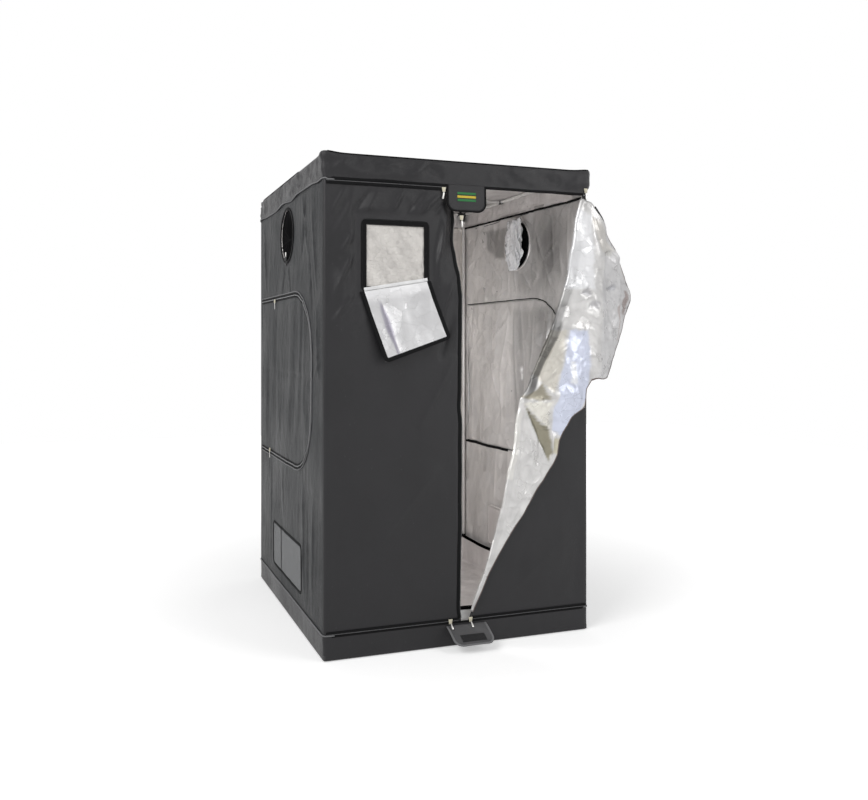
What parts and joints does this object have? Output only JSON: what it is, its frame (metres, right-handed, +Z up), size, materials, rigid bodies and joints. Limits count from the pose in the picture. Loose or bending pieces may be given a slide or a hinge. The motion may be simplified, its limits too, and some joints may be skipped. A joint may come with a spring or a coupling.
{
  "type": "indoor grow tent",
  "caption": "Square cloth grow tent on a tube frame, with a silver lining, zipped doors, a window with a cover, round duct ports, mesh vents, storm flaps, roof bars and a floor tray.",
  "frame": {"origin": "centre of the base on the floor", "axes": "+Z up, -Y out of the front door, +X to the right seen from the front"},
  "size_m": [1.6038, 1.3037, 2],
  "materials": {
    "outer_cloth": "matt black woven polyester",
    "silver_lining": "crinkled silver film lining",
    "pole_metal": "pale coated tube",
    "black_plastic": "satin black",
    "window_film": "crinkled silvery film",
    "black_binding": "black tape",
    "vent_mesh": "fine grey mesh",
    "cream_plastic": "cream moulded slider",
    "hook_patch": "black hook tape"
  },
  "bodies": {
    "root": {"back_wall": "outer_cloth", "base_tub": "outer_cloth", "floor_tray": "silver_lining", "roof_cap": "outer_cloth", "left_wall": "outer_cloth", "right_wall": "outer_cloth", "right_door_lower": "outer_cloth", "left_port_sleeve": "silver_lining", "right_port_sleeve": "silver_lining", "left_vent_mesh": "vent_mesh", "right_vent_mesh": "vent_mesh", "bottom_corner_back_left": "black_plastic", "bottom_corner_back_right": "black_plastic", "bottom_corner_front_left": "black_plastic", "bottom_corner_front_right": "black_plastic", "top_corner_back_left": "black_plastic", "top_corner_back_right": "black_plastic", "top_corner_front_left": "black_plastic", "top_corner_front_right": "black_plastic", "bottom_rail_back": "pole_metal", "bottom_rail_front": "pole_metal", "bottom_rail_left": "pole_metal", "bottom_rail_right": "pole_metal", "top_rail_back": "pole_metal", "top_rail_front": "pole_metal", "top_rail_left": "pole_metal", "top_rail_right": "pole_metal", "post_back_left": "pole_metal", "post_back_right": "pole_metal", "post_front_left": "pole_metal", "post_front_right": "pole_metal"},
    "left_door": {"left_door": "outer_cloth", "window_film": "window_film", "window_binding": "black_binding"},
    "window_cover": {"window_cover": "silver_lining"},
    "right_door": {"right_door_folded": "silver_lining"},
    "top_storm_flap": {"top_storm_flap": "outer_cloth"},
    "bottom_storm_flap": {"bottom_storm_flap": "outer_cloth", "bottom_flap_hook_patch": "hook_patch"},
    "left_side_door": {"left_side_door": "outer_cloth"},
    "right_side_door": {"right_side_door": "outer_cloth"},
    "left_vent_cover": {"left_vent_cover": "silver_lining"},
    "right_vent_cover": {"right_vent_cover": "silver_lining"},
    "crossbar_front": {"crossbar_front": "pole_metal", "crossbar_front_clip_left": "black_plastic", "crossbar_front_clip_right": "black_plastic"},
    "crossbar_back": {"crossbar_back": "pole_metal", "crossbar_back_clip_left": "black_plastic", "crossbar_back_clip_right": "black_plastic"},
    "top_left_slider": {"top_left_slider": "cream_plastic"},
    "centre_slider": {"centre_slider": "cream_plastic"},
    "top_right_slider": {"top_right_slider": "cream_plastic"},
    "bottom_left_slider": {"bottom_left_slider": "cream_plastic"},
    "bottom_left_pull": {"bottom_left_slider_pull": "pole_metal"},
    "bottom_right_slider": {"bottom_right_slider": "cream_plastic"},
    "bottom_right_pull": {"bottom_right_slider_pull": "pole_metal"},
    "left_side_door_top_slider": {"left_side_door_top_slider": "cream_plastic"},
    "left_side_door_bottom_slider": {"left_side_door_bottom_slider": "cream_plastic"},
    "right_side_door_top_slider": {"right_side_door_top_slider": "cream_plastic"},
    "right_side_door_bottom_slider": {"right_side_door_bottom_slider": "cream_plastic"}
  },
  "joints": [
    {"name": "left_door_swing", "type": "hinge", "parent": "root", "child": "left_door", "pos_m": [-0.6, -0.6, 0.1], "axis": [0, 0, -1], "range_deg": [0, 110], "deforming": ["top_storm_flap"]},
    {"name": "right_door_fold", "type": "hinge", "parent": "root", "child": "right_door", "pos_m": [0, -0.60135, 0.1003], "axis": [-0.3174, 0, -0.9483], "range_deg": [0, 165]},
    {"name": "window_cover_fold", "type": "hinge", "parent": "left_door", "child": "window_cover", "pos_m": [-0.445, -0.6038, 1.452], "axis": [-0.9863, 0, -0.165], "range_deg": [0, 172]},
    {"name": "top_storm_flap_lift", "type": "hinge", "parent": "root", "child": "top_storm_flap", "pos_m": [0.015, -0.60105, 1.903], "axis": [-1, 0, 0], "range_deg": [0, 170]},
    {"name": "bottom_storm_flap_lift", "type": "hinge", "parent": "root", "child": "bottom_storm_flap", "pos_m": [0.015, -0.60105, 0.086], "axis": [-1, 0, 0], "range_deg": [0, 89]},
    {"name": "left_side_door_swing", "type": "hinge", "parent": "root", "child": "left_side_door", "pos_m": [-0.6, 0.55, 0.7], "axis": [0, 0, -1], "range_deg": [0, 120]},
    {"name": "right_side_door_swing", "type": "hinge", "parent": "root", "child": "right_side_door", "pos_m": [0.6, 0.55, 0.7], "axis": [0, 0, 1], "range_deg": [0, 120]},
    {"name": "left_vent_cover_lift", "type": "hinge", "parent": "root", "child": "left_vent_cover", "pos_m": [-0.59745, 0, 0.377], "axis": [0, -1, 0], "range_deg": [0, 160]},
    {"name": "right_vent_cover_lift", "type": "hinge", "parent": "root", "child": "right_vent_cover", "pos_m": [0.59745, 0, 0.377], "axis": [0, 1, 0], "range_deg": [0, 160]},
    {"name": "crossbar_front_slide", "type": "slide", "parent": "root", "child": "crossbar_front", "axis": [0, 1, 0], "range_m": [-0.33, 0.3]},
    {"name": "crossbar_back_slide", "type": "slide", "parent": "root", "child": "crossbar_back", "axis": [0, 1, 0], "range_m": [-0.3, 0.38]},
    {"name": "top_left_zip_slide", "type": "slide", "parent": "left_door", "child": "top_left_slider", "axis": [1, 0, 0], "range_m": [-0.46, 0]},
    {"name": "centre_zip_slide", "type": "slide", "parent": "left_door", "child": "centre_slider", "axis": [0, 0, 1], "range_m": [-1.5, 0]},
    {"name": "top_right_zip_slide", "type": "slide", "parent": "root", "child": "top_right_slider", "axis": [1, 0, 0], "range_m": [-0.46, 0]},
    {"name": "bottom_left_zip_slide", "type": "slide", "parent": "left_door", "child": "bottom_left_slider", "axis": [1, 0, 0], "range_m": [-0.48, 0]},
    {"name": "bottom_right_zip_slide", "type": "slide", "parent": "root", "child": "bottom_right_slider", "axis": [1, 0, 0], "range_m": [0, 0.53]},
    {"name": "bottom_left_pull_turn", "type": "hinge", "parent": "bottom_left_slider", "child": "bottom_left_pull", "pos_m": [-0.058, -0.6052, 0.099], "axis": [-1, 0, 0], "range_deg": [0, 115]},
    {"name": "bottom_right_pull_turn", "type": "hinge", "parent": "bottom_right_slider", "child": "bottom_right_pull", "pos_m": [0.033, -0.6052, 0.099], "axis": [-1, 0, 0], "range_deg": [0, 115]},
    {"name": "left_side_door_top_zip_slide", "type": "slide", "parent": "left_side_door", "child": "left_side_door_top_slider", "axis": [0, 1, 0], "range_m": [-0.36, 0.29]},
    {"name": "left_side_door_bottom_zip_slide", "type": "slide", "parent": "left_side_door", "child": "left_side_door_bottom_slider", "axis": [0, 1, 0], "range_m": [-0.47, 0.18]},
    {"name": "right_side_door_top_zip_slide", "type": "slide", "parent": "right_side_door", "child": "right_side_door_top_slider", "axis": [0, 1, 0], "range_m": [-0.36, 0.29]},
    {"name": "right_side_door_bottom_zip_slide", "type": "slide", "parent": "right_side_door", "child": "right_side_door_bottom_slider", "axis": [0, 1, 0], "range_m": [-0.47, 0.18]}
  ],
  "couplings": [
    {"joint": "bottom_left_pull_turn", "follows": "bottom_storm_flap_lift", "ratio": 1.27},
    {"joint": "bottom_right_pull_turn", "follows": "bottom_storm_flap_lift", "ratio": 1.27}
  ]
}
